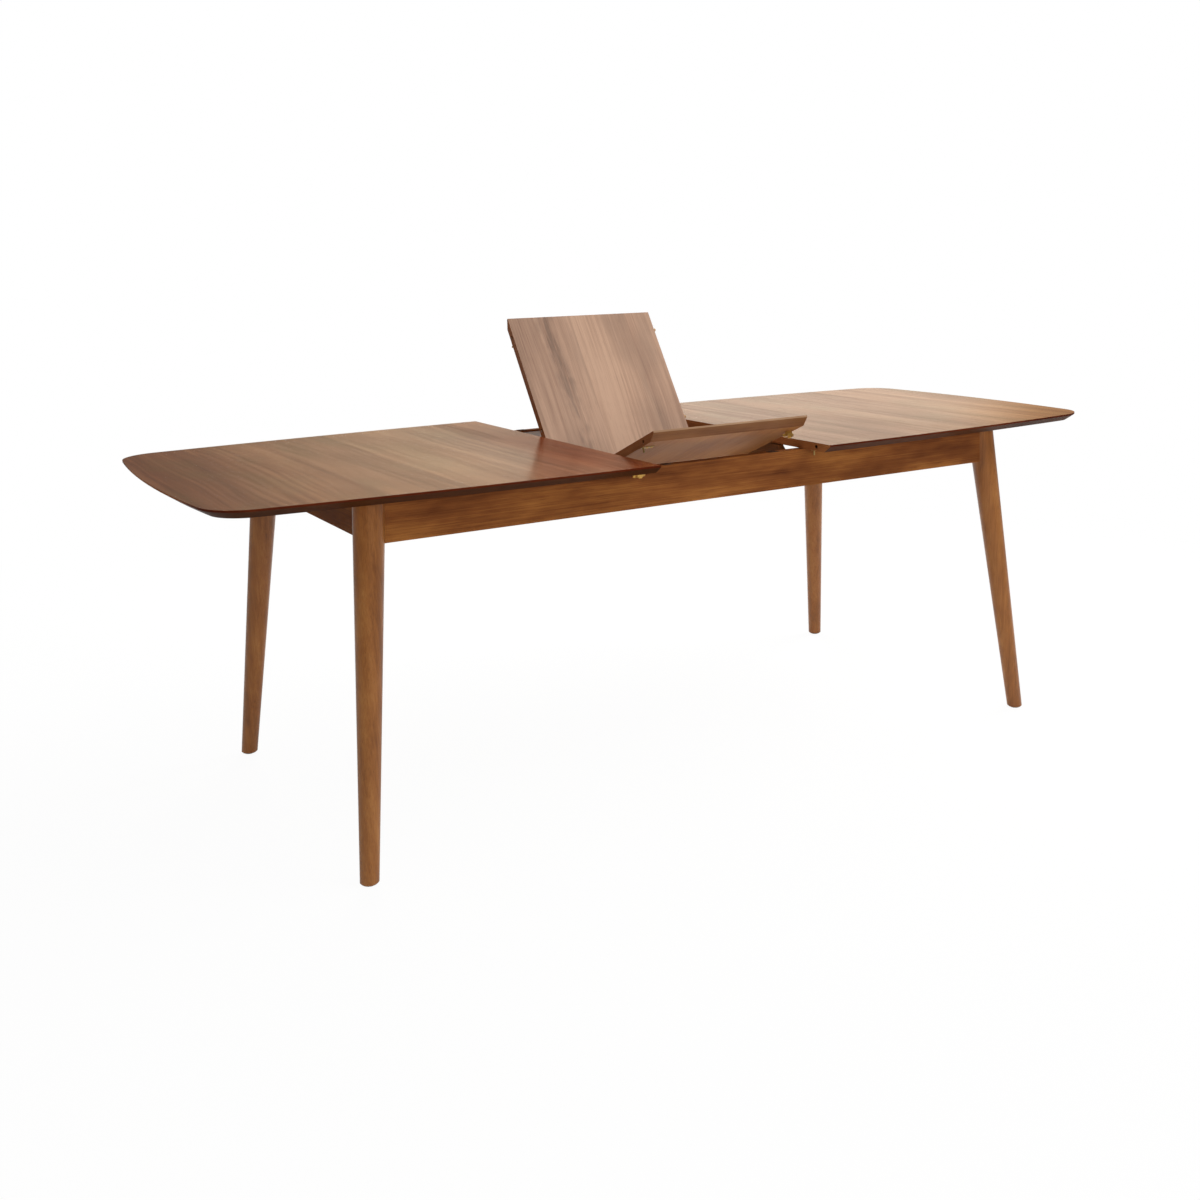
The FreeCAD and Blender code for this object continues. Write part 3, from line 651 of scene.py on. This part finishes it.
def add_screw_head(mesh, place, radius):
    """Domed head with a cross recess, its flat underside on the face that it stands on."""
    rings = []
    for reach, height in HEAD_RINGS:
        ring = []
        for point in range(RIM_POINTS):
            angle = math.tau * point / RIM_POINTS
            spot = Vector((reach * math.cos(angle), reach * math.sin(angle), height)) * radius
            ring.append(mesh.verts.new(place @ spot))
        rings.append(ring)
    for lower, upper in zip(rings, rings[1:]):
        for face in joined(mesh, lower, upper):
            face.smooth = True
    top_height = HEAD_RINGS[-1][1]
    brim, floor = [], []
    for arm in range(CROSS_ARMS):
        turn = Matrix.Rotation(math.tau * arm / CROSS_ARMS, 3, "Z")
        for corner in CROSS_CORNERS:
            spot = turn @ Vector((*corner, top_height))
            brim.append(mesh.verts.new(place @ (spot * radius)))
            spot.z -= CROSS_DEPTH
            floor.append(mesh.verts.new(place @ (spot * radius)))
    edges = []
    for loop in (rings[-1], brim):
        for point in range(len(loop)):
            pair = (loop[point], loop[(point + 1) % len(loop)])
            edges.append(mesh.edges.get(pair) or mesh.edges.new(pair))
    bmesh.ops.triangle_fill(mesh, edges=edges, use_beauty=True)
    joined(mesh, brim, floor)
    mesh.faces.new(floor)


def facing(place, outward, spin):
    """Placement whose Z looks outward, turned about it by the spin."""
    turn = Vector(outward).to_track_quat("Z", "Y").to_matrix().to_4x4()
    return Matrix.Translation(place) @ turn @ Matrix.Rotation(spin, 4, "Z")


def add_screws(name, body, material, heads, body_place):
    """One object with the screw heads of a body: heads are (place, outward, radius) in the flat layout."""
    mesh = bmesh.new()
    for number, (place, outward, radius) in enumerate(heads):
        add_screw_head(mesh, body_place @ facing(place, outward, number * SPIN_STEP), radius)
    bmesh.ops.recalc_face_normals(mesh, faces=mesh.faces)
    data = bpy.data.meshes.new(name)
    mesh.to_mesh(data)
    mesh.free()
    data.materials.append(material)
    piece = bpy.data.objects.new(name, data)
    bpy.context.scene.collection.objects.link(piece)
    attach(piece, body)


def keeper_heads(edge, sides):
    """Two screws in the keeper on each of these sides, FRONT or BACK, from the edge inward."""
    bottom = UNDERSIDE - KEEPER_THICKNESS
    return [((edge + reach, side * LATCH_Y, bottom), DOWN, SMALL_HEAD)
            for side in sides for reach in KEEPER_SCREWS]


def hook_heads(x, sides):
    """The cap on the screw of the hook on each of these sides."""
    return [((x, side * LATCH_Y, HOOK_HEAD_BOTTOM), DOWN, CAP_HEAD) for side in sides]


def bracket_heads():
    """Four screws in each pivot bracket."""
    heads = []
    for side in (-1, 1):
        for x in BRACKET_SCREWS_X:
            for reach in (-BRACKET_SCREW_REACH, BRACKET_SCREW_REACH):
                place = (side * x, pivot.y + reach, UNDERSIDE - BRACKET_THICKNESS)
                heads.append((place, DOWN, SMALL_HEAD))
    return heads


def under_top_heads(side_name):
    """Screws that hold a batten and two runners to the underside of a top half."""
    low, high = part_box("cross_batten_" + side_name)
    heads = [(((low[0] + high[0]) / 2, y, low[2]), DOWN, WOOD_HEAD) for y in BATTEN_SCREWS_Y]
    for depth_name in ("front", "back"):
        low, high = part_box("runner_" + side_name + "_" + depth_name)
        for share in RUNNER_SCREW_SHARES:
            x = low[0] + (high[0] - low[0]) * share
            heads.append(((x, (low[1] + high[1]) / 2, low[2]), DOWN, WOOD_HEAD))
    return heads


def block_heads():
    """Two screws in the long face of each corner block, one on each side of its bolt."""
    heads = []
    for name in starts("corner_block"):
        low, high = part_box(name)
        middle = (Vector(low) + Vector(high)) / 2
        inward = Vector((-math.copysign(1, middle.x), -math.copysign(1, middle.y), 0)).normalized()
        along = Vector((-inward.y, inward.x, 0))
        for reach in (-BLOCK_SCREW_REACH, BLOCK_SCREW_REACH):
            heads.append((middle + along * reach, inward, WOOD_HEAD))
    return heads


def turned(centre, degrees):
    """Turn about the line along X through the centre."""
    turn = Matrix.Rotation(math.radians(degrees), 4, "X")
    return Matrix.Translation(centre) @ turn @ Matrix.Translation(-centre)


make_camera()
make_world()
make_floor()
for lamp in LAMPS:
    make_lamp(*lamp)

# The leaf: from its place at rest back to flat for the looks, and from flat to rest for the screws
BACK_TURNS = (((0, pivot.y, pivot.z), -LEAF_BACK_TURN),)
FRONT_TURNS = (((0, fold.y, fold.z), LEAF_BACK_TURN - LEAF_FRONT_TURN),) + BACK_TURNS
at_rest = Matrix.Identity(4)
back_place = turned(pivot, LEAF_BACK_TURN)
front_place = turned(fold, LEAF_FRONT_TURN - LEAF_BACK_TURN) @ back_place

# Looks of the boards: planks are (left edge, tone) pairs, and the left half's two stretches run towards
# the gap
HALF_LOOK = {"tones": VENEER, "edge": EDGE_WOOD, "rim": RIM_WOOD, "edge_shine": 0.015, "rough": 0.15,
             "grain": 1.15, "coat": 0.2, "sheen": 0.2}
# Left half: over its last 20 to 30 cm beside the gap, painted shade and a painted darker reflection of the
# raised leaf
LEFT_LOOK = HALF_LOOK | {
    "planks": [(-1.12, 0.4), (-0.95, 0.6), (-0.79, 0.45), (-0.63, 0.7), (-0.47, 0.5), (-0.31, 0.4)],
    "leaf_shade_from": (-0.52, -0.28), "dark_reflection_from": (-0.41, -0.3)}
RIGHT_LOOK = HALF_LOOK | {
    "planks": [(0.19, 0.6), (0.34, 0.5), (0.5, 0.65), (0.66, 0.45), (0.82, 0.6), (0.98, 0.4)]}
LEAF_LOOK = {"tones": LEAF_VENEER, "edge": LEAF_EDGE_WOOD, "rim": LEAF_RIM_WOOD, "edge_shine": 0.2,
             "rough": 0.3, "grain": 0.8, "coat": 0.0, "sheen": 0.1,
             "planks": [(-0.21, 0.65), (-0.032, 0.95), (0.124, 0.55)], "figure_x": -0.1}
LEAF_SEED = (2.6, 0.2, 3.1)
TOP_BOARDS = (
    ("top_left", (), (0.3, 0.7, 0.2), LEFT_LOOK),
    ("top_right", (), (1.9, 0.4, 1.1), RIGHT_LOOK),
    ("leaf_back", BACK_TURNS, LEAF_SEED, LEAF_LOOK),
    ("leaf_front", FRONT_TURNS, LEAF_SEED, LEAF_LOOK),
)
for name, *board in TOP_BOARDS:
    dress([name], top_material(name, *board))

# Plain wood: pieces, then the material's name, grain axis, seed, tones, mottle, roughness and shine
LEG_SEED_STEP = (1.7, 0.9, 1.0)
for number, name in enumerate(starts("leg_")):
    seed = tuple(number * step for step in LEG_SEED_STEP)
    dress([name], plain_wood(name, "Z", seed, LEG_WOOD, 0.45, 0.26, 0.35))
PLAIN_BOARDS = (
    (["apron_front", "apron_back"], "long_aprons", "X", (0.4, 0.1, 2.0), FRAME_WOOD, 0.4, 0.38, 0.05),
    # The end aprons take the darker copy of the frame wood: painted shade
    (["apron_left", "apron_right"], "end_aprons", "Y", (3.4, 1.1, 0.6), SHADED_END_APRON_WOOD, 0.4, 0.45, 0.02),
    (starts("runner_"), "runners", "X", (5.4, 2.1, 2.6), INNER_WOOD, 0.4, 0.5, 0.2),
    (starts("cross_", "leaf_carrier"), "cross_boards", "Y", (6.1, 0.3, 1.6), INNER_WOOD, 0.4, 0.5, 0.2),
    (["leaf_stop_rail"], "stop_rail", "X", (7.7, 0.6, 0.6), INNER_WOOD, 0.4, 0.5, 0.2),
    (starts("corner_block"), "corner_blocks", "Z", (2.2, 4.3, 0.1), INNER_WOOD, 0.4, 0.55, 0.2),
    (starts("alignment_pins"), "dowels", "X", (0.0, 0.5, 4.4), PALE_WOOD, 0.3, 0.5, 0.2),
)
for pieces, *wood in PLAIN_BOARDS:
    dress(pieces, plain_wood(*wood))

brass = metal("brass", srgb(222, 176, 92), 0.28, 0.45)
dull_brass = metal("dull_brass", srgb(184, 156, 100), 0.4, 0.5)
plated = metal("plated_steel", srgb(168, 168, 166), 0.34, 0.5)
dress(starts("hook_", "hinge_"), brass)
dress(starts("keeper"), dull_brass)
dress(starts("slide_"), metal("slide_steel", srgb(176, 178, 180), 0.3, 0.4))
dress(starts("pivot_bracket", "pivot_pins", "hanger_"), plated)
dress(["pivot_bushes", "foot_glides"], matt("nylon", srgb(42, 36, 32), 0.45, 900.0, 0.00005))
dress(["felt_pads"], matt("felt", srgb(70, 52, 40), 0.95, 1400.0, 0.0003))

left_latches = hook_heads(LEFT_HOOK_X, (FRONT, BACK))
right_latches = keeper_heads(RIGHT_EDGE, (FRONT, BACK))
front_latches = keeper_heads(LEAF_EDGE, (FRONT,)) + hook_heads(LEAF_HOOK_X, (FRONT,))
back_latches = keeper_heads(LEAF_EDGE, (BACK,)) + hook_heads(LEAF_HOOK_X, (BACK,))
add_screws("latch_screws_left", "top_left", brass, left_latches, at_rest)
add_screws("latch_screws_right", "top_right", brass, right_latches, at_rest)
add_screws("latch_screws_leaf_front", "leaf_front", brass, front_latches, front_place)
add_screws("latch_screws_leaf_back", "leaf_back", brass, back_latches, back_place)
add_screws("bracket_screws", "leaf_back", plated, bracket_heads(), back_place)
add_screws("wood_screws_left", "top_left", plated, under_top_heads("left"), at_rest)
add_screws("wood_screws_right", "top_right", plated, under_top_heads("right"), at_rest)
add_screws("block_screws", "frame", plated, block_heads(), at_rest)

bpy.context.scene.view_settings.view_transform = "Standard"
